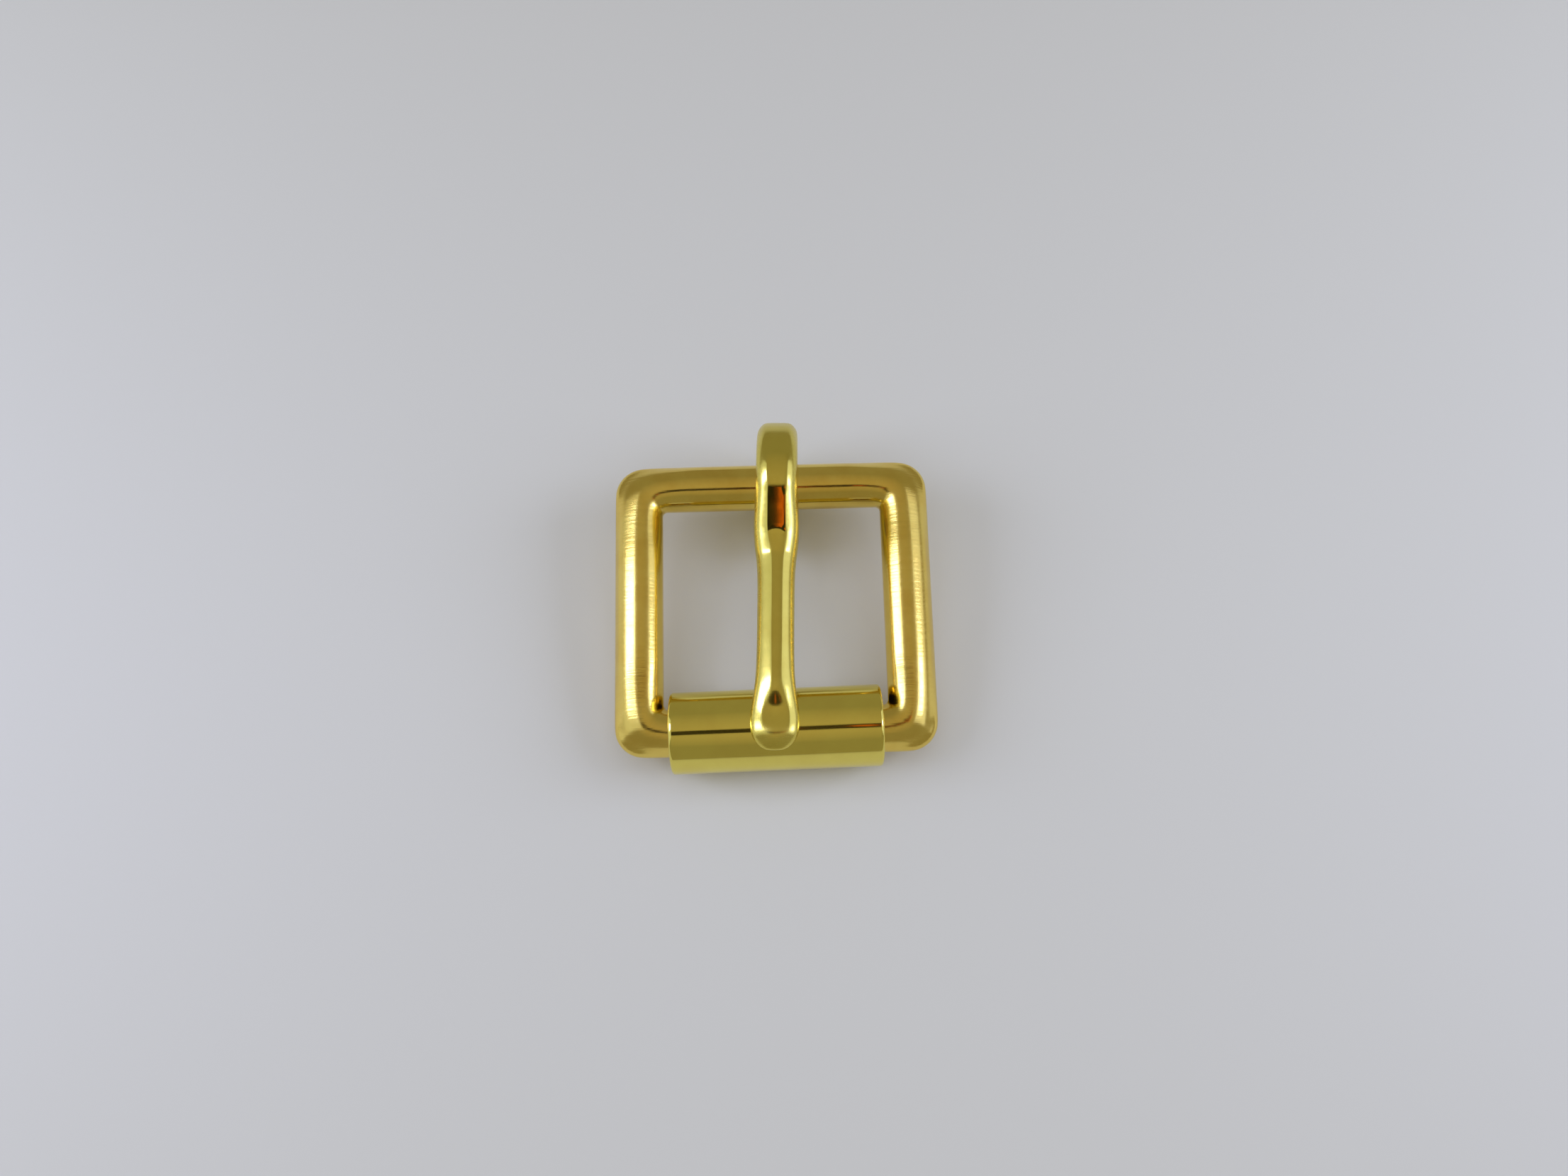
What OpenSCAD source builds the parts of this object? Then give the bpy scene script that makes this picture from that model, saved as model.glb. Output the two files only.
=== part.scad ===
// Roller buckle in solid brass: a cast frame, a tube roller on its front bar
// and a tongue whose eye swings on its rear bar.
// It lies on a flat surface as it would by itself. Z = 0 is that surface, X runs
// along the bars, and +Y points from the roller to the rear bar.

/* [Frame] */
// Clear width between the side bars, which is the width of the strap
inner_w = 16; // [12:0.5:40]
// Spacing of the two end bars, from centre line to centre line
bar_spacing = 18; // [16:0.5:30]
// Diameter of the side bars and of the four corners
side_d = 3.5; // [3.4:0.05:3.9]
// Diameter of the end bars, which carry the roller and the tongue
end_d = 3.35; // [2.6:0.05:3.4]
// Radius of the corners along the centre line of the bars
corner_r = 0.4; // [0.2:0.1:1]
// Length over which an end bar thins out from its corner
taper_l = 1.2; // [0.4:0.1:2]

/* [Roller] */
// Outer diameter of the roller
roller_d = 5.75; // [5.2:0.05:6.5]
// Wall of the roller's tube
roller_wall = 0.6; // [0.4:0.05:0.65]
// Play of the roller between the side bars, both ends together
end_play = 0.7; // [0.6:0.05:1.5]
// Rounding of the roller's outer rims
rim_r = 0.35; // [0.1:0.05:0.38]
// How far the roller lies to the left of the middle
roller_shift = 0.12; // [0:0.02:0.15]
// How far the roller has turned in its play, seen from above, in degrees
roller_skew = 0.95; // [0:0.05:1]

/* [Tongue] */
// Outer radius of the tongue's eye
eye_r = 4.75; // [4:0.05:5.5]
// Width of the eye
eye_w = 3; // [2.4:0.1:4]
// Rounding of the eye's and the shank's upper edges
edge_r = 0.9; // [0.4:0.05:1.1]
// Rounding of the shank's lower edges
low_edge_r = 0.35; // [0.15:0.05:0.5]
// Slope of the flat that runs down from the eye, in degrees
flat_slope = 24; // [16:1:30]
// Length of that flat
flat_l = 3.2; // [2:0.1:3.6]
// Width of the tongue at the lower end of the flat
shoulder_w = 3.3; // [2.6:0.1:4.2]
// Thickness of the tongue at the lower end of the flat
shoulder_t = 2.6; // [2.2:0.1:3]
// Distance from the rear bar's centre to the start of the slim shank
neck_l = 7.1; // [6.2:0.1:8]
// Width of the shank
shank_w = 2.65; // [2.4:0.05:3.4]
// Thickness of the shank where the tip begins
shank_t = 1.35; // [1.3:0.05:2]
// Width of the tip, which is a half round at its end
tip_w = 3.4; // [2.8:0.1:4.4]
// Thickness of the tip over the roller
tip_t = 1; // [0.8:0.05:1.25]
// Rounding of the tip's rim
tip_edge_r = 0.42; // [0.2:0.02:0.6]
// Length of the widening from the shank to the tip
flare_l = 3.4; // [2.6:0.1:4]
// How far the tip reaches past the roller's centre line
tip_reach = 2.2; // [1.8:0.1:2.6]
// Gap between the eye's bent end and the shank above it
bend_gap = 0.35; // [0.2:0.05:0.6]
// How far the tongue lies to the right of the middle, at the rear bar
tongue_shift = 0.5; // [0:0.1:1]
// How far the tongue has turned in its play, seen from above, in degrees
tongue_skew = 1.8; // [0:0.1:2.4]

/* [Fits] */
// Radial gap between the tongue's eye and the rear bar
eye_gap = 0.1; // [0.08:0.01:0.3]
// Gap where the front bar rests in the roller
seat_gap = 0.06; // [0.05:0.01:0.1]
// Gap between the tongue's tip and the roller under it
rest_gap = 0.06; // [0.05:0.01:0.1]

/* [Hidden] */
$fn = 96;
hull_fn = 32;
slice = 0.01;
sink = 0.02;
side_r = side_d / 2;
end_r = end_d / 2;
roller_r = roller_d / 2;
bore_r = roller_r - roller_wall;
roller_l = inner_w - end_play;
half_w = inner_w / 2 + side_r;
eye_bore_r = end_r + eye_gap;

// Heights of the end bars: the front one rests in the roller, the rear one in the eye
front_z = roller_wall + seat_gap + end_r;
rear_z = eye_r;
tilt = asin((rear_z - front_z) / bar_spacing);
rear_y = bar_spacing * cos(tilt);

// The part's box from front to back, which centres it on the origin. How far a body
// of revolution with rounded rims reaches when it has turned by a few degrees
function reach(r, half_l, edge, skew) =
    (r - edge) * cos(skew) + (half_l - edge) * sin(skew) + edge;
front_edge = -reach(roller_r, roller_l / 2, rim_r, roller_skew);
back_edge = rear_y + reach(eye_r, eye_w / 2, edge_r, tongue_skew);
centre_y = (front_edge + back_edge) / 2;

// Where the tongue's flat touches the eye and where it ends, from the rear bar's centre
flat_u = eye_r * sin(flat_slope);
flat_top = eye_r * cos(flat_slope);
shoulder_u = flat_u + flat_l * cos(flat_slope);
shoulder_top = flat_top - flat_l * sin(flat_slope);
tip_end_u = rear_y / cos(tongue_skew) + tip_reach;
tip_u = tip_end_u - tip_w / 2;
shank_end_u = tip_u - flare_l;
tip_low = roller_d + rest_gap - rear_z;
shank_end_top = tip_low + shank_t;
neck_share = (neck_l - shoulder_u) / (shank_end_u - shoulder_u);

// The tongue's cross sections from its eye to the start of its tip
U = 0; // distance from the rear bar's centre towards the tip
TOP = 1; // height of the top above that centre
LOW = 2; // height of the underside above that centre
WIDTH = 3;
shoulder_low = shoulder_top - shoulder_t;
sections = [
    [flat_u, flat_top - sink, eye_bore_r, eye_w - sink],
    [shoulder_u, shoulder_top, shoulder_low, shoulder_w],
    [
        neck_l,
        shoulder_top + (shank_end_top - shoulder_top) * neck_share,
        shoulder_low + (tip_low - shoulder_low) * neck_share,
        shank_w
    ],
    [shank_end_u, shank_end_top, tip_low, shank_w]
];

module end_bar() {
    straight_l = 2 * (half_w - corner_r - taper_l);
    rotate([0, 90, 0]) cylinder(r = end_r, h = straight_l, center = true);
    for (side = [0, 1])
        mirror([side, 0, 0])
            translate([straight_l / 2, 0, 0])
                rotate([0, 90, 0]) cylinder(r1 = end_r, r2 = side_r, h = taper_l);
}

module side_bar() {
    translate([half_w, corner_r, 0])
        rotate([-90, 0, 0]) cylinder(r = side_r, h = bar_spacing - 2 * corner_r);
}

// A quarter turn of the round bar, between a side bar and the front bar
module corner() {
    translate([half_w - corner_r, corner_r, 0])
        rotate([0, 0, -90])
            rotate_extrude(angle = 90)
                intersection() {
                    translate([corner_r, 0]) circle(r = side_r);
                    translate([0, -side_r]) square([corner_r + side_r, side_d]);
                }
}

module frame() {
    color("goldenrod")
        translate([0, -centre_y, front_z])
            rotate([tilt, 0, 0])
                union() {
                    end_bar();
                    translate([0, bar_spacing, 0]) end_bar();
                    for (side = [0, 1])
                        mirror([side, 0, 0]) {
                            side_bar();
                            corner();
                            translate([0, bar_spacing, 0]) mirror([0, 1, 0]) corner();
                        }
                }
}

// A quarter disc in the first quadrant, for a rounded edge
module quarter(r, fn) {
    intersection() {
        circle(r = r, $fn = fn);
        square(r);
    }
}

// Half of the tube's wall in section, with its outer rim rounded
module roller_wall_section() {
    translate([bore_r, 0]) square([roller_wall - rim_r, roller_l / 2]);
    translate([bore_r, 0]) square([roller_wall, roller_l / 2 - rim_r]);
    translate([roller_r - rim_r, roller_l / 2 - rim_r]) quarter(rim_r, $fn);
}

module roller() {
    color("darkkhaki")
        translate([-roller_shift, -centre_y, roller_r])
            rotate([0, 0, roller_skew])
                rotate([0, 90, 0])
                    rotate_extrude()
                        union() {
                            roller_wall_section();
                            mirror([0, 1]) roller_wall_section();
                        }
}

// The eye's wall in section, with its outer edges rounded
module eye_section() {
    translate([eye_bore_r, -eye_w / 2]) square([eye_r - edge_r - eye_bore_r, eye_w]);
    translate([eye_bore_r, edge_r - eye_w / 2])
        square([eye_r - eye_bore_r, eye_w - 2 * edge_r]);
    for (side = [-1, 1])
        translate([eye_r - edge_r, side * (eye_w / 2 - edge_r)]) circle(r = edge_r);
}

// One cross section of the shank, as a thin slice with four rounded corners
module shank_section(s) {
    translate([0, -s[U], 0])
        rotate([90, 0, 0])
            linear_extrude(height = slice)
                for (side = [0, 1])
                    mirror([side, 0]) {
                        translate([s[WIDTH] / 2 - edge_r, s[TOP] - edge_r])
                            quarter(edge_r, hull_fn);
                        translate([s[WIDTH] / 2 - low_edge_r, s[LOW] + low_edge_r])
                            mirror([0, 1]) quarter(low_edge_r, hull_fn);
                    }
}

// The round end of the tip, with its rim rounded
module tip_disc() {
    translate([0, -tip_u, tip_low])
        rotate_extrude($fn = hull_fn)
            union() {
                square([tip_w / 2 - tip_edge_r, tip_t]);
                translate([tip_w / 2 - tip_edge_r, tip_t - tip_edge_r])
                    quarter(tip_edge_r, hull_fn);
                translate([tip_w / 2 - tip_edge_r, tip_edge_r])
                    mirror([0, 1]) quarter(tip_edge_r, hull_fn);
            }
}

module tongue() {
    color("olive")
        translate([tongue_shift, rear_y - centre_y, rear_z])
            rotate([0, 0, -tongue_skew])
                difference() {
                    union() {
                        rotate([0, 90, 0]) rotate_extrude() eye_section();
                        for (i = [0 : len(sections) - 2])
                            hull() {
                                shank_section(sections[i]);
                                shank_section(sections[i + 1]);
                            }
                        hull() {
                            shank_section(sections[len(sections) - 1]);
                            tip_disc();
                        }
                    }
                    rotate([0, 90, 0])
                        cylinder(r = eye_bore_r, h = 2 * shoulder_w, center = true);
                    translate([-shoulder_w, -2 * eye_r, shoulder_low - bend_gap])
                        cube([2 * shoulder_w, 2 * eye_r, bend_gap]);
                }
}

frame();
roller();
tongue();
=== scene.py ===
# %% [markdown]
# # A roller buckle in solid brass
#
# A roller buckle joins the two ends of a strap. It has three hard parts: a cast frame
# of round bar, a tube that rolls on the frame's front bar, and a tongue whose eye swings
# on the rear bar. The CAD model already gives their places and sizes. Here each part is
# modelled again with the soft transitions that casting and polishing leave, and gets its
# finish. The three new parts move with the CAD model's bodies.

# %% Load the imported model
import math

import bmesh
import bpy
from mathutils import Matrix, Vector


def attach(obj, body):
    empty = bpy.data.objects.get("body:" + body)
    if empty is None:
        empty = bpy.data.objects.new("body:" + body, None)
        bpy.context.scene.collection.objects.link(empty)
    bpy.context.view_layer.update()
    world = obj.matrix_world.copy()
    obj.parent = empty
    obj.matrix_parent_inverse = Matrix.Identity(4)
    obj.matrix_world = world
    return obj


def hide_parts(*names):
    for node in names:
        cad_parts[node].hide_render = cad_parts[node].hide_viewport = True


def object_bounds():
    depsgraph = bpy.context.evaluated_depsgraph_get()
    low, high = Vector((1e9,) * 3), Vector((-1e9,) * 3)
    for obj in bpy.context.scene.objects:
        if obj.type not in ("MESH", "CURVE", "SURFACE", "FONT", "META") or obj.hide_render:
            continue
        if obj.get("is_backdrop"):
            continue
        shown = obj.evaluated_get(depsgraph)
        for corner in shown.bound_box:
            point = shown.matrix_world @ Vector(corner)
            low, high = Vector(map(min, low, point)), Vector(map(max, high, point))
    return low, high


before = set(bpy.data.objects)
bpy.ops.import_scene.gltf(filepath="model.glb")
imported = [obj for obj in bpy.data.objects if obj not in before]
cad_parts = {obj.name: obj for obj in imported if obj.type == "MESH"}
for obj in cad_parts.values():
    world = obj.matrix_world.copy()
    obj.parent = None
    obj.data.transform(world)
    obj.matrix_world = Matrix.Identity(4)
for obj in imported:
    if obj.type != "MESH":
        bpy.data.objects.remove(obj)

scene = bpy.context.scene
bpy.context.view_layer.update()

# %% [markdown]
# ## The camera
#
# The photograph looks down at about 70 degrees from close by, which makes the rear bar
# look narrower than the front one. The focal length, distance and small roll below came
# from fitting the edges of the bars. A camera looks along its own -Z, so its axes are
# worked out from the viewing direction and then rolled round that direction.

# %% Camera
MM = 0.001
image_w, image_h = 2212, 1659
focal_px = 1650
sensor_mm = 36
aim = Vector((0.795, 0.727, 3.0)) * MM
elevation, azimuth, roll = map(math.radians, (70.18, 0.066, -1.574))
distance = 85.96 * MM

back = Vector((
    math.sin(azimuth) * math.cos(elevation),
    -math.cos(azimuth) * math.cos(elevation),
    math.sin(elevation),
))
right = Vector((0, 0, 1)).cross(back).normalized()
up = back.cross(right)
right, up = (
    right * math.cos(roll) + up * math.sin(roll),
    up * math.cos(roll) - right * math.sin(roll),
)
camera_data = bpy.data.cameras.new("camera")
camera_data.sensor_width = sensor_mm
camera_data.lens = sensor_mm * focal_px / image_w
camera_data.clip_start = 0.002
camera = bpy.data.objects.new("camera", camera_data)
scene.collection.objects.link(camera)
camera.matrix_world = Matrix.Translation(aim + back * distance) @ Matrix(
    (right, up, back)
).transposed().to_4x4()
scene.camera = camera
print("lens of", round(camera_data.lens, 2), "mm, aimed from", round(1000 * distance), "mm")

# %% [markdown]
# A known point, worked out as the camera sees it, shows whether the camera is right. The
# middle of the rear bar has to fall on the rear bar of the photograph. Its place in mm is
# needed again for the tongue.

# %% Check the camera
rear_y, rear_z = 8.033, 4.75


def pixel(point):
    """Where a point of the row frame falls in the photograph."""
    seen = camera.matrix_world.inverted() @ Vector(point)
    return (
        round(image_w / 2 - focal_px * seen.x / seen.z, 1),
        round(image_h / 2 + focal_px * seen.y / seen.z, 1),
    )


bpy.context.view_layer.update()
print("rear bar at", pixel((0, rear_y * MM, rear_z * MM)))

# %% [markdown]
# ## Working in millimetres
#
# Blender's modelling tools have small fixed tolerances that suit things of about a metre.
# A buckle of two centimetres would be close to them, so each part is modelled with one
# unit for a millimetre, and its mesh is scaled to metres at the very end. The frame and
# the tongue are built from rings of points, one after another. Each point carries the
# number of its ring, so a ring can be chosen again wherever it has gone.

# %% Helpers for rings
def start(name):
    """An empty mesh at the origin, in edit mode, whose points can carry a ring's number."""
    if bpy.context.mode != "OBJECT":
        bpy.ops.object.mode_set(mode="OBJECT")
    bpy.ops.object.select_all(action="DESELECT")
    bpy.ops.mesh.primitive_plane_add(size=1, location=(0, 0, 0))
    piece = bpy.context.object
    piece.name = piece.data.name = name
    piece.data.attributes.new("ring", "INT", "POINT")
    bpy.ops.object.mode_set(mode="EDIT")
    bpy.ops.mesh.select_mode(type="VERT")
    bpy.ops.mesh.select_all(action="SELECT")
    bpy.ops.mesh.delete(type="VERT")
    print("started", name)
    return piece


def choose(piece, test=lambda place: True, rings=None):
    """Selects the points that pass a test on their place, or those of some rings."""
    mesh = bmesh.from_edit_mesh(piece.data)
    ring = mesh.verts.layers.int["ring"]
    for item in (*mesh.faces, *mesh.edges, *mesh.verts):
        item.select_set(False)
    for point in mesh.verts:
        if test(point.co) and (rings is None or point[ring] in rings):
            point.select_set(True)
    mesh.select_flush(True)
    bmesh.update_edit_mesh(piece.data)
    return sum(point.select for point in mesh.verts)


def number(piece, ring_number):
    """Gives the points of the newest ring, which still carry 0, their number."""
    mesh = bmesh.from_edit_mesh(piece.data)
    ring = mesh.verts.layers.int["ring"]
    for point in mesh.verts:
        if point[ring] == 0:
            point[ring] = ring_number


def bridge(piece, rings):
    """Joins each numbered ring to the next."""
    for i in range(1, rings):
        choose(piece, rings=(i, i + 1))
        bpy.ops.mesh.bridge_edge_loops()
    faces = len(bmesh.from_edit_mesh(piece.data).faces)
    print(piece.name, "of", rings, "rings and", faces, "faces before it is rounded")


# %% [markdown]
# ## The frame: rings along a quarter of it
#
# The frame is a closed loop of round bar. Its corners are full outside and almost sharp
# inside, as a casting has them, so a bent tube wouldn't do. Rings are set across the bar
# instead: a ring in a corner is stretched from the inner corner to the outer one. The
# same turn that gives the outer edge a radius of 2.15 mm then gives the inner edge one
# of 0.3 mm. One quarter is enough, because both pairs of bars mirror each other.

# %% Rings of the frame
side_r, end_r = 1.75, 1.675
half_w, half_l = 9.75, 9.0
outer_fillet, inner_fillet = 2.15, 0.3
corner_turn = (outer_fillet + inner_fillet) / 2
corner_slant = (outer_fillet - inner_fillet) / 2 / side_r
# The rings beside a corner already lean towards it
early_slant, early_growth = 0.21, 0.015

# Each ring: middle of the bar, direction across the bar, radius
quarter = [((x, -half_l), (0, -1), end_r) for x in (0, 2, 4, 5.8, 7.0)]
quarter.append(((7.8, -half_l), (early_slant, -1), end_r + early_growth))
for degrees in range(0, 91, 15):
    a = math.radians(degrees)
    forward, sideways = 1 - math.cos(a), 1 - math.sin(a)
    quarter.append((
        (half_w - corner_turn * sideways, -half_l + corner_turn * forward),
        (1 - corner_slant * sideways, corner_slant * forward - 1),
        end_r + (side_r - end_r) * math.sin(a),
    ))
quarter.append(((half_w, -7.05), (1, -early_slant), side_r))
quarter += [((half_w, y), (1, 0), side_r) for y in (-6.2, -4.2, -2.1, 0)]
print(len(quarter), "rings in a quarter of the frame")

# %% [markdown]
# The side bars aren't quite round: their highest line lies a little nearer the window.
# So each ring's upper points are pushed that way in three steps, and each step takes only
# the points above a higher level. Then the ring is stretched, turned across the bar and
# moved to its place. Bridging the neighbours gives the quarter, and a mirror the whole.

# %% Model the frame
origin = (0, 0, 0)
ring_points = 32
# A ring of flat sides loses a little of its radius when it is subdivided
full = 1 / (1 - (1 - math.cos(2 * math.pi / ring_points)) / 3)
side_lean = 0.15
lean_levels = (0, 0.35, 0.7)


def apply_all(piece):
    """Applies the piece's modifiers and leaves it in object mode."""
    bpy.ops.object.mode_set(mode="OBJECT")
    for modifier in list(piece.modifiers):
        bpy.ops.object.modifier_apply(modifier=modifier.name)


frame_piece = start("frame_cast")
for i, ((x, y), (across_x, across_y), radius) in enumerate(quarter, 1):
    bpy.ops.mesh.primitive_circle_add(
        vertices=ring_points, radius=radius * full, rotation=(math.pi / 2, 0, 0)
    )
    lean = -side_lean / len(lean_levels) * across_x
    for level in lean_levels:
        choose(frame_piece, lambda place: place.z > level * radius + 0.01, rings=(0,))
        bpy.ops.transform.translate(value=(lean, 0, 0))
    choose(frame_piece, rings=(0,))
    stretch = math.hypot(across_x, across_y)
    bpy.ops.transform.resize(value=(stretch, 1, 1), center_override=origin)
    turn = -math.atan2(across_y, across_x)
    bpy.ops.transform.rotate(value=turn, orient_axis="Z", center_override=origin)
    bpy.ops.transform.translate(value=(x, y, 0))
    number(frame_piece, i)
bridge(frame_piece, len(quarter))
mirror = frame_piece.modifiers.new("other quarters", "MIRROR")
mirror.use_axis = (True, True, False)
mirror.merge_threshold = 0.01
apply_all(frame_piece)

# %% [markdown]
# Ring by ring, the corners are still mitred on top. A casting is softer there: its inner
# edge is sharp only where it meets the pattern's parting line. So the points on the top
# and underside of the corners are relaxed, and those at the sides stay. A subdivision
# surface then rounds the whole.

# %% Soften the corners
corner_x, corner_y, parting_half = 6.0, 5.9, 0.5
relax_rounds = 18


def on_a_corner(place):
    above_parting = abs(place.z) > parting_half
    return abs(place.x) > corner_x and abs(place.y) > corner_y and above_parting


def smooth(piece, levels):
    """Rounds the mesh with a subdivision surface and shades it smooth."""
    surface = piece.modifiers.new("surface", "SUBSURF")
    surface.levels = surface.render_levels = levels
    apply_all(piece)
    bpy.ops.object.shade_smooth()


bpy.ops.object.mode_set(mode="EDIT")
softened = choose(frame_piece, on_a_corner)
bpy.ops.mesh.vertices_smooth(factor=0.5, repeat=relax_rounds)
print(softened, "corner points relaxed")
smooth(frame_piece, 2)

# %% [markdown]
# The two side bars are brushed across. The end bars, which are harder to reach with a
# belt, and the corners, which a belt wears smooth, are more polished. Each point gets a
# number that says how polished it is, and the material reads it later.

# %% Mark the buffed bars
satin_x, satin_fade = 9.0, 2.0
corner_from_y, corner_fade, corner_most = 7.6, 1.4, 0.55


def mark_polish(piece, how_polished):
    """Writes on each point how polished it is, from its place and its normal."""
    values = piece.data.attributes.new("polish", "FLOAT", "POINT").data
    for vertex, value in zip(piece.data.vertices, values):
        value.value = how_polished(vertex.co, vertex.normal)
    print(piece.name, "polish from", round(min(v.value for v in values), 2),
          "to", round(max(v.value for v in values), 2))


def frame_polish(place, normal):
    end_bar = (satin_x - abs(place.x)) / satin_fade
    corner = min(corner_most, (abs(place.y) - corner_from_y) / corner_fade)
    return max(0, min(1, max(end_bar, corner)))


mark_polish(frame_piece, frame_polish)

# %% [markdown]
# The front bar rests inside the roller and the rear bar inside the tongue's thick eye,
# so the frame slopes up by 7.7 degrees from front to rear. The mesh is turned and moved
# inside its object, so the object itself stays at the origin with no turn of its own.

# %% Place the frame
front_y = -9.80426
frame_slope = 7.71044
front_height = 2.335


def put_in_place(piece, turn_x=0, turn_z=0, move=(0, 0, 0)):
    """Turns and moves the mesh to its place, then scales it from mm to m."""
    bpy.ops.object.mode_set(mode="EDIT")
    bpy.ops.mesh.select_all(action="SELECT")
    bpy.ops.mesh.remove_doubles(threshold=0.0005)
    bpy.ops.mesh.normals_make_consistent(inside=False)
    for angle, axis in ((turn_x, "X"), (turn_z, "Z")):
        if angle:
            # The operator counts a clockwise turn, seen from the axis's far end, as positive
            bpy.ops.transform.rotate(
                value=-math.radians(angle), orient_axis=axis, center_override=origin
            )
    bpy.ops.transform.translate(value=move)
    bpy.ops.transform.resize(value=(MM, MM, MM), center_override=origin)
    bpy.ops.object.mode_set(mode="OBJECT")
    mesh = piece.data
    mesh.attributes.remove(mesh.attributes["ring"])
    low = [min(v.co[i] for v in mesh.vertices) * 1000 for i in range(3)]
    high = [max(v.co[i] for v in mesh.vertices) * 1000 for i in range(3)]
    print(piece.name, len(mesh.polygons), "faces, box in mm from",
          [round(c, 2) for c in low], "to", [round(c, 2) for c in high])


slope = math.radians(frame_slope)
put_in_place(
    frame_piece,
    turn_x=frame_slope,
    move=(0, front_y + half_l * math.cos(slope), front_height + half_l * math.sin(slope)),
)

# %% [markdown]
# ## The roller: a section spun round its axis
#
# The roller is a piece of tube, cut to length, whose rims were rounded so that they
# don't cut the strap. A lathe shape is quickest made from its section: one plane for the
# wall, its corners bevelled, its face removed and its outline spun round the X axis. In
# the photograph it lies a little askew on its bar. It is made slightly shorter than the
# CAD model's tube, because that is where the photograph shows its rounded ends.

# %% Model the roller
roller_r, roller_wall, roller_l = 2.875, 0.6, 14.82
outer_rim, inner_rim = 0.25, 0.08
roller_turn = 0.95
wall_middle = (0, 0, roller_r - roller_wall / 2)

roller_piece = start("roller_tube")
bpy.ops.mesh.primitive_plane_add(size=1, location=wall_middle, rotation=(math.pi / 2, 0, 0))
bpy.ops.transform.resize(value=(roller_l, 1, roller_wall), center_override=wall_middle)
choose(roller_piece, lambda place: place.z > roller_r - 0.1)
bpy.ops.mesh.bevel(affect="VERTICES", offset=outer_rim, segments=5)
choose(roller_piece, lambda place: place.z < roller_r - roller_wall + 0.01)
bpy.ops.mesh.bevel(affect="VERTICES", offset=inner_rim, segments=3)
bpy.ops.mesh.select_all(action="SELECT")
bpy.ops.mesh.delete(type="ONLY_FACE")
bpy.ops.mesh.select_all(action="SELECT")
bpy.ops.mesh.spin(
    steps=160, angle=2 * math.pi, center=origin, axis=(1, 0, 0), use_auto_merge=True
)
bpy.ops.object.mode_set(mode="OBJECT")
put_in_place(roller_piece, turn_z=roller_turn, move=(0, front_y, roller_r))
bpy.ops.object.shade_smooth_by_angle(angle=math.radians(40))

# %% [markdown]
# ## The tongue: rounded sections along its length
#
# The tongue is one rod of changing section. It starts as a wide end that was bent round
# the rear bar, has a polished flat where it leaves the eye, thins to a slim shank and
# ends in a spoon that rests on the roller. A list of sections along the rod is easier to
# correct than one sculpted shape. Each section has its lower and upper point, measured
# forwards and upwards from the bar's axis. In the eye they lie on two circles round it.

# %% Sections of the tongue
eye_r, eye_bore, eye_w = 4.75, 1.775, 3.0
eye_step = 10
eye_full = 1 / (1 - (1 - math.cos(math.radians(eye_step))) / 3)
# Half the width of the flat, which narrows where the eye runs out
eye_flat = 0.86
narrower = {340: 0.84, 350: 0.80, 360: 0.74, 370: 0.67, 380: 0.635}


def round_bar(degrees, r_in, r_out):
    """Lower and upper point of a section of the eye, at an angle from straight up."""
    a = math.radians(degrees)
    return (
        (r_in * math.sin(a), r_in * math.cos(a)),
        (r_out * math.sin(a), r_out * math.cos(a)),
    )


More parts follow.
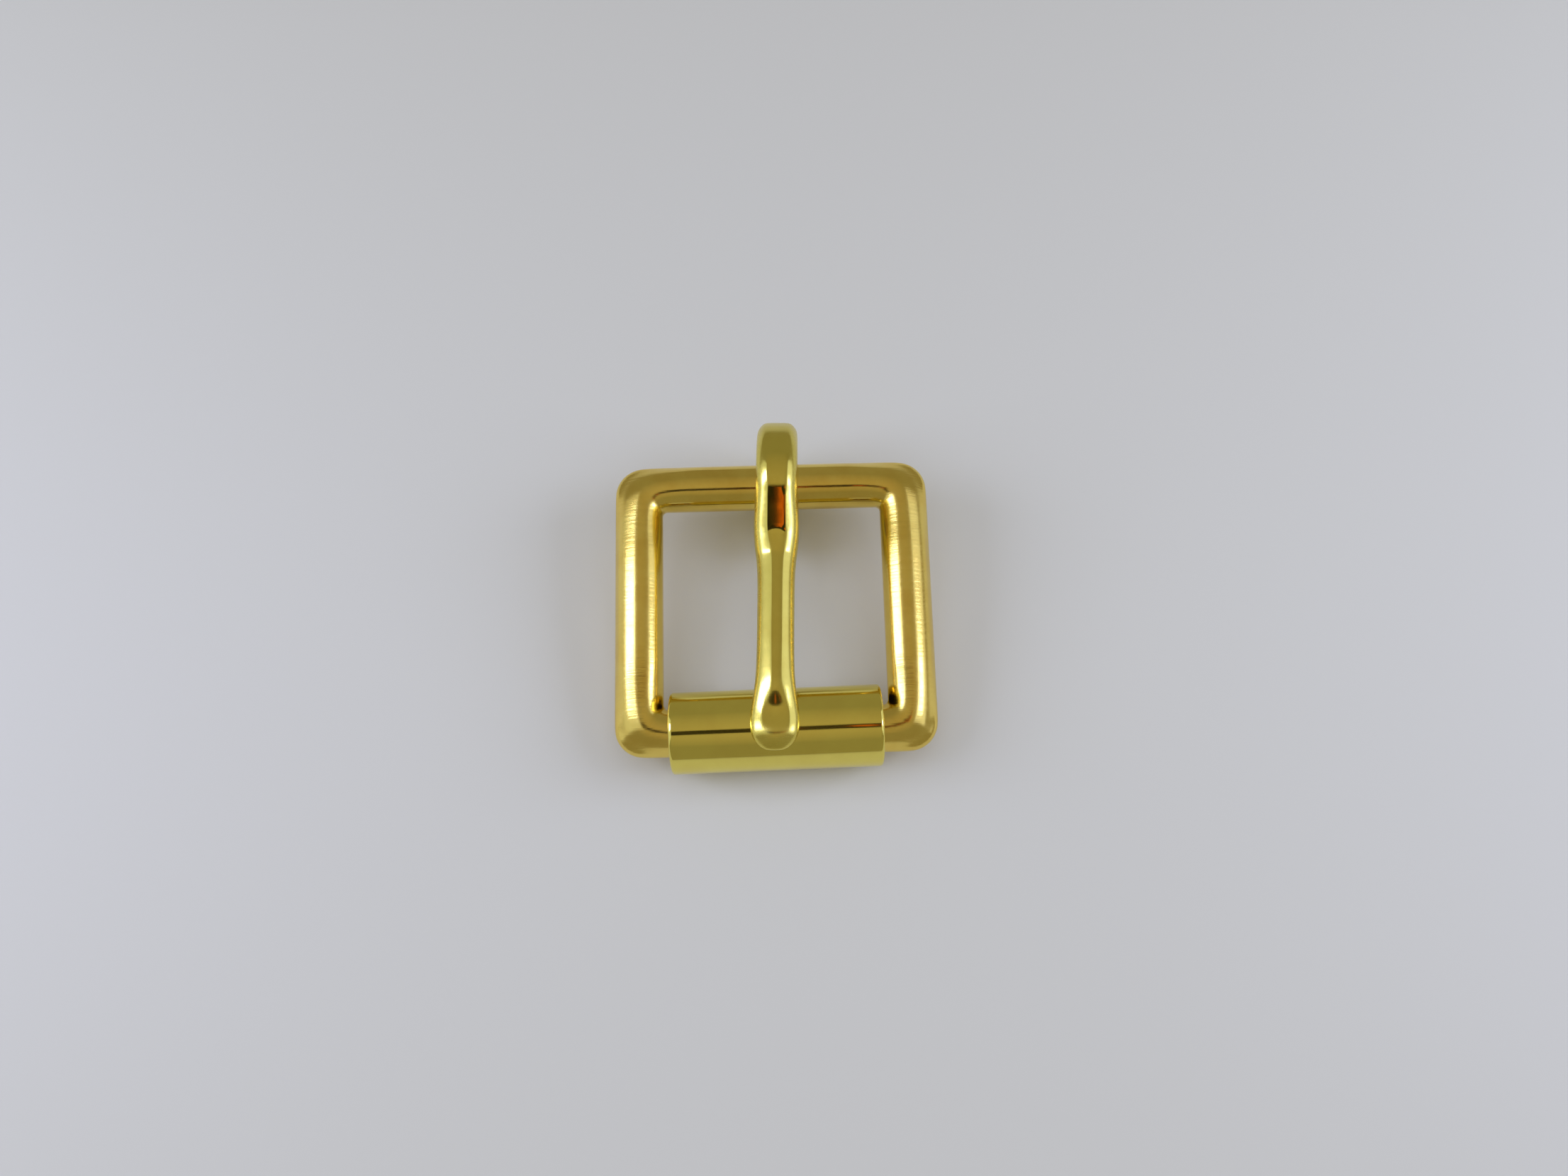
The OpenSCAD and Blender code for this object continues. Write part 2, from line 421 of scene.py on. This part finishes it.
# Lower point, upper point, width, half the width of the flat on top, height of the
# crown above the widest line, height of the lower rounding, how domed the flat is
sections = [((1.85, 0.10), (4.60, 0.10), 2.8, 0.85, 0.9, 0.4, 0)]
for degrees in range(100, 381, eye_step):
    low, high = round_bar(degrees, eye_bore * eye_full, eye_r * eye_full)
    sections.append((low, high, eye_w, narrower.get(degrees, eye_flat), 1.05, 0.35, 0))
sections += [
    ((0.86, 1.56), (2.08, 4.28), 3.02, 0.63, 1.08, 0.35, 0),
    ((1.36, 1.15), (2.75, 3.98), 3.10, 0.63, 1.08, 0.35, 0),
    ((1.66, 0.66), (3.50, 3.645), 3.20, 0.63, 1.08, 0.35, 0),
    ((2.10, 0.438), (4.15, 3.355), 3.28, 0.63, 1.08, 0.35, 0),
    ((3.40, 0.438), (4.60, 3.155), 3.30, 0.635, 1.08, 0.35, 0),
    ((4.60, 0.445), (5.10, 2.985), 3.24, 0.63, 1.10, 0.35, 0.3),
    ((5.25, 0.47), (5.60, 2.815), 3.12, 0.60, 1.12, 0.35, 0.7),
    ((5.70, 0.49), (5.92, 2.715), 3.01, 0.57, 1.13, 0.35, 0.9),
    ((6.00, 0.51), (6.12, 2.66), 2.94, 0.56, 1.13, 0.35, 1),
    ((6.40, 0.54), (6.40, 2.635), 2.86, 0.54, 1.13, 0.35, 1),
    ((7.20, 0.58), (7.20, 2.615), 2.72, 0.51, 1.12, 0.35, 1),
    ((8.50, 0.66), (8.50, 2.59), 2.66, 0.50, 1.12, 0.35, 1),
    ((10.5, 0.79), (10.5, 2.55), 2.64, 0.50, 1.12, 0.35, 1),
    ((12.5, 0.91), (12.5, 2.51), 2.64, 0.50, 1.10, 0.30, 1),
    ((14.0, 1.01), (14.0, 2.48), 2.66, 0.48, 1.06, 0.25, 1.1),
    ((15.0, 1.06), (15.0, 2.45), 2.76, 0.50, 1.02, 0.20, 1.4),
    ((15.5, 1.06), (15.5, 2.41), 2.85, 0.53, 0.98, 0.18, 1.6),
    ((15.9, 1.06), (15.9, 2.35), 2.95, 0.57, 0.96, 0.16, 1.7),
    ((16.3, 1.06), (16.3, 2.27), 3.06, 0.64, 0.93, 0.15, 1.7),
    ((16.8, 1.06), (16.8, 2.155), 3.21, 0.76, 0.88, 0.14, 1.6),
    ((17.3, 1.06), (17.3, 2.055), 3.34, 0.88, 0.80, 0.12, 1.4),
    ((17.7, 1.06), (17.7, 2.025), 3.40, 0.94, 0.76, 0.12, 1.5),
    ((18.2, 1.06), (18.2, 2.035), 3.41, 0.95, 0.74, 0.12, 1.8),
    ((18.7, 1.06), (18.7, 2.045), 3.31, 0.88, 0.72, 0.12, 2.2),
    ((19.0, 1.06), (19.0, 2.015), 3.13, 0.77, 0.70, 0.12, 2.4),
    ((19.3, 1.07), (19.3, 1.915), 2.83, 0.60, 0.64, 0.11, 2.2),
    ((19.6, 1.10), (19.6, 1.75), 2.37, 0.44, 0.52, 0.10, 1.6),
    ((19.88, 1.16), (19.88, 1.56), 1.62, 0.29, 0.32, 0.07, 1.1),
    ((20.02, 1.28), (20.02, 1.43), 0.80, 0.15, 0.11, 0.03, 0.7),
]
print(len(sections), "sections in the tongue")

# %% [markdown]
# Every section starts as a circle of 24 points, turned so that four of them lie on top.
# Those four are pressed flat or domed, the upper half is pressed to the crown's height,
# and the lower half to its own height and moved down. Then the left and right halves are
# moved apart to the width. All sections have the same number of points, so one can be
# bridged to the next.

# %% Shape a section of the tongue
section_points = 24
step = math.radians(180 / section_points)
flat_share, crown_share, reach_share = math.sin(3 * step), math.cos(3 * step), math.cos(step)


def press(value, center):
    bpy.ops.transform.resize(value=(1, 1, value), center_override=center)


def add_section(piece, height, width, flat, crown, lower, dome):
    """A section whose flat has its middle at the origin. All of it stays selected."""
    radius = (width / 2 - flat) / (1 - flat_share)
    apart = width / 2 - radius
    bpy.ops.mesh.primitive_circle_add(
        vertices=section_points, radius=radius, rotation=(math.pi / 2, step, 0)
    )
    choose(piece, lambda place: place.z > 0.95 * radius, rings=(0,))
    press(dome, (0, 0, crown_share * radius))
    choose(piece, lambda place: place.z > 0, rings=(0,))
    press(crown / (crown_share * radius), origin)
    choose(piece, lambda place: place.z < 0, rings=(0,))
    press(lower / (reach_share * radius), origin)
    bpy.ops.transform.translate(value=(0, 0, crown + lower - height))
    for side in (-1, 1):
        choose(piece, lambda place: place.x * side > 0, rings=(0,))
        bpy.ops.transform.translate(value=(side * apart, 0, 0))
    # The two inner points of the top are spread evenly between the ends of the flat
    choose(piece, lambda place: place.z > crown - 0.001 and abs(place.x) < flat - 0.01,
           rings=(0,))
    inner_x = radius * math.sin(step) + apart
    bpy.ops.transform.resize(value=(flat / 3 / inner_x, 1, 1), center_override=origin)
    choose(piece, rings=(0,))
    bpy.ops.transform.translate(value=(0, 0, -crown))


print("the flat takes", round(flat_share, 3), "of a section's circle")

# %% [markdown]
# Each section is then tilted to the line from its lower to its upper point and moved
# there. The first and the last section are closed with a face: they are the rod's ends.

# %% Model the tongue
tongue_piece = start("tongue_cast")
for i, (low_point, high_point, *shape) in enumerate(sections, 1):
    rise, run = high_point[1] - low_point[1], high_point[0] - low_point[0]
    add_section(tongue_piece, math.hypot(rise, run), *shape)
    if i in (1, len(sections)):
        bpy.ops.mesh.edge_face_add()
    # The tongue points along -Y, so a section that leans towards the tip turns to -Y
    tilt = -math.atan2(run, rise)
    bpy.ops.transform.rotate(value=tilt, orient_axis="X", center_override=origin)
    bpy.ops.transform.translate(value=(0, -high_point[0], high_point[1]))
    number(tongue_piece, i)
bridge(tongue_piece, len(sections))

# %% [markdown]
# The flat and the spoon have clear edges, where a subdivision surface alone would round
# them off. A crease on those edges holds them. Each section's flat ends at two points
# whose places are known, so they can be found again.

# %% Crease the edges of the flats
above_eye = 1.4


def crease(first_u, last_u, value):
    """Creases the edges of the flat between two distances from the bar's axis."""
    ends = [
        (high[0], high[1], flat)
        for low, high, width, flat, *rest in sections
        if first_u <= high[0] <= last_u and high[1] > above_eye
    ]
    choose(tongue_piece, lambda place: any(
        abs(place.y + u) + abs(place.z - z) + abs(abs(place.x) - flat) < 0.003
        for u, z, flat in ends
    ))
    bpy.ops.transform.edge_crease(value=value)
    print(len(ends), "sections creased from", first_u, "to", last_u, "mm")


crease(1.95, 5.0, 0.85)
crease(16.2, 19.7, 0.3)
smooth(tongue_piece, 2)

# %% [markdown]
# The flat is ground and polished, the rest of the top was rubbed bright by the strap, and
# the sides stay satin. The tip is worn dull again. The same number on each point is used.
# It is written while the tongue still lies along Y, where those places are simple to name.

# %% Mark the polished places of the tongue
flat_from, flat_to, flat_half = 1.9, 4.9, 0.66
rubbed, worn = 0.8, 0.3
tip_from, tip_fade = 18.9, 0.7


def tongue_polish(place, normal):
    along, across = -place.y, abs(place.x)
    if place.z > above_eye and flat_from < along < flat_to and across < flat_half:
        return 1.0
    worn_tip = max(worn, min(1, (tip_from - along) / tip_fade))
    return rubbed * worn_tip * abs(normal.z) ** 3


mark_polish(tongue_piece, tongue_polish)

# %% [markdown]
# The eye hangs on the rear bar with room to slide. In the photograph the tongue sits half
# a millimetre to the right and points a little to the left of straight ahead.

# %% Place the tongue
tongue_x, tongue_turn = 0.5, -1.8
put_in_place(tongue_piece, turn_z=tongue_turn, move=(tongue_x, rear_y, rear_z))

# %% [markdown]
# ## Brass
#
# A material is a small network of nodes. The helpers below add a node, a noise, a ramp
# between two colours and a change of range. The noise is laid on Object coordinates in
# mm, so it stays on a piece that moves. Stretched along one axis, it becomes fine lines.

# %% Helpers for materials
def node(tree, kind, **values):
    """A node whose sockets and settings get the values of the same names."""
    made = tree.nodes.new(kind)
    for key, value in values.items():
        if key in made.inputs:
            made.inputs[key].default_value = value
        else:
            setattr(made, key, value)
    return made


def stretched_noise(tree, name, scale, stretch, detail=3.0, turn=0.0):
    """Noise on Object coordinates, in mm, stretched along the axes."""
    place_node = node(tree, "ShaderNodeTexCoord")
    mapping = node(tree, "ShaderNodeMapping", label=name)
    mapping.inputs["Rotation"].default_value = (0, 0, math.radians(turn))
    mapping.inputs["Scale"].default_value = [1000 * s for s in stretch]
    noise = node(tree, "ShaderNodeTexNoise", Scale=scale, Detail=detail, Roughness=0.6)
    tree.links.new(place_node.outputs["Object"], mapping.inputs["Vector"])
    tree.links.new(mapping.outputs["Vector"], noise.inputs["Vector"])
    return noise.outputs["Fac"]


def ramp(tree, factor, stops):
    """A ramp between two colours, each given with its position."""
    made = node(tree, "ShaderNodeValToRGB")
    for element, (position, colour) in zip(made.color_ramp.elements, stops):
        element.position = position
        element.color = (*colour, 1)
    tree.links.new(factor, made.inputs["Fac"])
    return made.outputs["Color"]


def span(tree, factor, low, high, first=0.3, last=0.7):
    """Maps a value between first and last to one between low and high."""
    made = node(tree, "ShaderNodeMapRange")
    made.inputs["From Min"].default_value = first
    made.inputs["From Max"].default_value = last
    made.inputs["To Min"].default_value = low
    made.inputs["To Max"].default_value = high
    tree.links.new(factor, made.inputs["Value"])
    return made.outputs["Result"]


# %% [markdown]
# All three parts are yellow brass. A metal has no colour of its own beside its
# reflections, so the base colour is the tint that it gives to what it mirrors. The frame
# and the tongue were brushed and the roller's tube was drawn, and both leave fine lines
# along X: a noise that is stretched along X drives roughness and bump. A second, wide
# noise bends the reflections a little, as hand polishing does, and a third one shifts the
# tint where the metal has begun to tarnish. Where a part is polished, the number on its
# points takes down the roughness and most of the lines' depth.

# %% Brass of any finish
depth_left_by_polish = 0.2


def brass(
    name, light, dark, rough, line_depth, wave_depth, line_stretch, turn=0, polished=None
):
    """Depths in mm. Polished is the roughness where a point is fully polished."""
    material = bpy.data.materials.new(name)
    material.use_nodes = True
    tree = material.node_tree
    tree.nodes.clear()
    shader = node(tree, "ShaderNodeBsdfPrincipled", Metallic=1.0)
    output = node(tree, "ShaderNodeOutputMaterial")
    tree.links.new(shader.outputs["BSDF"], output.inputs["Surface"])
    lines = stretched_noise(tree, "brushed lines", 1.6, line_stretch, 4, turn)
    cloud = stretched_noise(tree, "tarnish", 0.5, (1, 1, 1), 5, turn)
    wave = stretched_noise(tree, "hand polish", 0.35, (0.5, 1, 1), 1, turn)
    tint = ramp(tree, cloud, [(0.35, dark), (0.6, light)])
    tree.links.new(tint, shader.inputs["Base Color"])
    fine = node(tree, "ShaderNodeBump", Strength=1.0, Distance=line_depth * MM)
    wide = node(tree, "ShaderNodeBump", Strength=1.0, Distance=wave_depth * MM)
    tree.links.new(lines, fine.inputs["Height"])
    tree.links.new(wave, wide.inputs["Height"])
    tree.links.new(wide.outputs["Normal"], fine.inputs["Normal"])
    tree.links.new(fine.outputs["Normal"], shader.inputs["Normal"])
    roughness = span(tree, lines, *rough)
    if polished is not None:
        mark = node(tree, "ShaderNodeAttribute", attribute_name="polish").outputs["Fac"]
        mix = node(tree, "ShaderNodeMix", data_type="FLOAT")
        mix.inputs["B"].default_value = polished
        tree.links.new(mark, mix.inputs["Factor"])
        tree.links.new(roughness, mix.inputs["A"])
        roughness = mix.outputs["Result"]
        depth_left = span(tree, mark, 1.0, depth_left_by_polish, first=0, last=1)
        tree.links.new(depth_left, fine.inputs["Strength"])
    tree.links.new(roughness, shader.inputs["Roughness"])
    print(name, "of", len(tree.nodes), "nodes")
    return material


# %% [markdown]
# The frame's brass is the warmest and has the deepest lines, the roller's is almost a
# mirror, and the tongue's is paler and duller. The roller and the tongue lie askew, so
# their patterns are turned back by the same angle and follow the piece.

# %% The three finishes
frame_brass = brass(
    "frame_brass", (0.85, 0.65, 0.15), (0.80, 0.58, 0.12), (0.17, 0.26),
    line_depth=0.014, wave_depth=0.02, line_stretch=(0.22, 3.6, 0.5), polished=0.12,
)
roller_brass = brass(
    "roller_brass", (0.85, 0.73, 0.16), (0.82, 0.69, 0.15), (0.08, 0.12),
    line_depth=0.0008, wave_depth=0.004, line_stretch=(0.06, 2.6, 0.5), turn=-roller_turn,
)
tongue_brass = brass(
    "tongue_brass", (0.77, 0.65, 0.135), (0.73, 0.60, 0.115), (0.26, 0.36),
    line_depth=0.003, wave_depth=0.008, line_stretch=(0.15, 2.6, 0.3), turn=-tongue_turn,
    polished=0.05,
)

# %% [markdown]
# Each new part gets its brass, moves with one of the CAD model's bodies and is shown in
# place of the plain CAD solid.

# %% Join the parts to the bodies
for piece, material, body in (
    (frame_piece, frame_brass, "frame"),
    (roller_piece, roller_brass, "roller"),
    (tongue_piece, tongue_brass, "tongue"),
):
    piece.data.materials.append(material)
    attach(piece, body)
    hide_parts(body)
    print(piece.name, "moves with", body)

# %% [markdown]
# ## The table and the light
#
# The buckle lies on a pale grey surface. Brass shows what stands round it, so the light
# matters as much as the finish. Each lamp of the studio is made twice: a soft area light
# that lights the table, and a glowing card, seen only in reflections, whose size and
# place give the highlight its width and its ends.

# %% Floor
floor_side = 2.0
bpy.ops.object.select_all(action="DESELECT")
bpy.ops.mesh.primitive_plane_add(size=floor_side, location=(0, 0, 0))
floor = bpy.context.object
floor.name = "floor"
paper = bpy.data.materials.new("pale_floor")
paper.use_nodes = True
paper_shader = paper.node_tree.nodes["Principled BSDF"]
paper_shader.inputs["Base Color"].default_value = (0.80, 0.80, 0.88, 1)
paper_shader.inputs["Roughness"].default_value = 0.7
floor.data.materials.append(paper)
floor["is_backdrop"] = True
print("floor", floor_side, "m wide")

# %% [markdown]
# The photograph's shadows are soft and faint, so the lamps are large, and light comes
# from above and from both sides. The brass doesn't mirror these lamps: it has the cards.

# %% Area lights for the table
cool = (0.86, 0.93, 1.02)


def area_light(name, size, location, power):
    """A square lamp that faces the buckle, size and location in mm."""
    lamp = bpy.data.lights.new(name, "AREA")
    lamp.shape, lamp.size, lamp.energy, lamp.color = "SQUARE", size * MM, power, cool
    made = bpy.data.objects.new(name, lamp)
    scene.collection.objects.link(made)
    made.location = Vector(location) * MM
    made.rotation_euler = Vector(location).to_track_quat("Z", "Y").to_euler()
    made.visible_glossy = False
    print(name, "of", power, "W at", location)


area_light("top_lamp", 260, (0, 0, 260), 0.10)
area_light("left_lamp", 120, (-190, 0, 120), 0.16)
area_light("right_lamp", 120, (190, 0, 120), 0.16)

# %% [markdown]
# A card is described by the directions in which the buckle sees it: across, from straight
# up towards the right, and along, in which 90 is straight up, less is towards the viewer
# and more is towards the rear. A lamp's card is small and bright. It stands before a
# large dim one, which is the glow that the lamp makes round itself.

# %% Cards for the reflections
lamp_away, glow_away = 160, 175
glow_along = (48, 128)


def glow_material(name, colour, strength):
    glow = bpy.data.materials.new(name)
    glow.use_nodes = True
    glow.node_tree.nodes.clear()
    emission = node(glow.node_tree, "ShaderNodeEmission", Strength=strength)
    emission.inputs["Color"].default_value = (*colour, 1)
    output = node(glow.node_tree, "ShaderNodeOutputMaterial")
    glow.node_tree.links.new(emission.outputs[0], output.inputs["Surface"])
    return glow


def only_reflected(made, material):
    """Gives a card its glow and hides it from everything but reflections."""
    made.data.materials.append(material)
    made.visible_camera = made.visible_diffuse = made.visible_shadow = False
    made.visible_transmission = made.visible_volume_scatter = False
    made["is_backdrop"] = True


def card(name, across, along, distance, colour, strength):
    """A card seen between two angles across and two along. The distance is in mm."""
    middle = math.radians(sum(across) / 2)
    width = 2 * distance * math.tan(math.radians(across[1] - across[0]) / 2)
    height = distance * math.cos(middle)
    near, far = (-height / math.tan(math.radians(angle)) for angle in along)
    bpy.ops.object.select_all(action="DESELECT")
    bpy.ops.mesh.primitive_plane_add(size=1)
    made = bpy.context.object
    made.name = name
    made.location = Vector((distance * math.sin(middle), (near + far) / 2, height)) * MM
    made.rotation_euler = (0, middle, 0)
    made.scale = (width * MM, (far - near) * MM, 1)
    only_reflected(made, glow_material(name, colour, strength))
    print(name, round(width), "by", round(far - near), "mm")


card("left_lamp_card", (-70, -28.5), (83, 105), lamp_away, (1.0, 1.03, 1.8), 5.5)
card("left_glow_card", (-88, -23), glow_along, glow_away, (0.95, 1.0, 1.15), 0.72)
card("right_lamp_card", (45, 66), (72, 89), lamp_away, (1.0, 1.03, 1.9), 6.0)
card("right_glow_card", (37, 80), glow_along, glow_away, (0.95, 1.0, 1.35), 0.95)

# %% [markdown]
# What the tops of the bars mirror is the ceiling. It is brightest in the middle and
# passes at its edges into the colour of the dim room, so its own edge doesn't show.

# %% Ceiling
ceiling_place, ceiling_side = (0, -0.05, 0.19), 0.42
room_colour, ceiling_middle = (0.285, 0.262, 0.185), (0.46, 0.39, 0.27)

bpy.ops.object.select_all(action="DESELECT")
bpy.ops.mesh.primitive_plane_add(size=1, location=ceiling_place)
ceiling = bpy.context.object
ceiling.name = "ceiling_glow"
ceiling.scale = (ceiling_side, ceiling_side, 1)
ceiling_glow = glow_material("ceiling_glow", (1, 1, 1), 1.0)
tree = ceiling_glow.node_tree
coordinates = node(tree, "ShaderNodeTexCoord")
fall_off = node(tree, "ShaderNodeTexGradient", gradient_type="SPHERICAL")
tree.links.new(coordinates.outputs["Object"], fall_off.inputs["Vector"])
ceiling_colour = ramp(
    tree, fall_off.outputs["Fac"], [(0.5, room_colour), (0.98, ceiling_middle)]
)
tree.links.new(ceiling_colour, tree.nodes["Emission"].inputs["Color"])
only_reflected(ceiling, ceiling_glow)
print("ceiling", ceiling_side, "m wide,", ceiling_place[2], "m above the table")

# %% [markdown]
# The thin dark line that runs along the roller and the rear bar is the reflection of the
# camera and of what holds it. A dark strip at the camera gives that line, and a small
# warm patch on it gives the orange glint in the flat. Two more show further right.

# %% The camera's own reflection
warm = (0.45, 0.10, 0.016)


def held_card(name, size, shift, colour, strength):
    """A card that faces the buckle beside the camera, sizes and shift in mm."""
    bpy.ops.object.select_all(action="DESELECT")
    bpy.ops.mesh.primitive_plane_add(size=1)
    made = bpy.context.object
    made.name = name
    made.rotation_euler = (math.radians(90) - elevation, 0, 0)
    made.location = camera.location + Vector(shift) * MM
    made.scale = (size[0] * MM, size[1] * MM, 1)
    glow = glow_material(name, colour, strength)
    tree = glow.node_tree
    # Uneven, as something out of focus would be
    blots = stretched_noise(tree, "blots", 1.0, (0.0018, 0.005, 0.001))
    shade = ramp(tree, blots, [(0.40, [0.5 * c for c in colour]), (0.60, colour)])
    tree.links.new(shade, tree.nodes["Emission"].inputs["Color"])
    only_reflected(made, glow)
    print(name, "of", size, "mm at the camera")


held_card("camera_edge", (72, 16), (0, 0, 0), (0.5, 0.4, 0.2), 0.09)
held_card("warm_patch", (5.4, 9), (0.1, -1.0, -1.5), warm, 1.7)
held_card("second_patch", (6, 6), (21.5, 1.0, -1.5), warm, 1.6)
held_card("third_patch", (5, 9), (33, 0, -1.5), warm, 3.0)

# %% [markdown]
# Everything between the cards is the dim room. The highlights of the photograph are
# simply clipped to white, and the Standard view does the same.

# %% World
world = bpy.data.worlds.new("studio")
scene.world = world
world.use_nodes = True
world.node_tree.nodes.clear()
sky = node(world.node_tree, "ShaderNodeBackground", Strength=1.0)
sky.inputs["Color"].default_value = (*room_colour, 1)
world_out = node(world.node_tree, "ShaderNodeOutputWorld")
world.node_tree.links.new(sky.outputs[0], world_out.inputs["Surface"])
scene.view_settings.view_transform = "Standard"
print("room of colour", room_colour)

# %% [markdown]
# The new parts have to fill the same box as the CAD model, so the box of the parts that are
# shown is printed.

# %% Size of the new parts
low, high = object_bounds()
print("visual box, mm:", [round(1000 * (b - a), 2) for a, b in zip(low, high)])
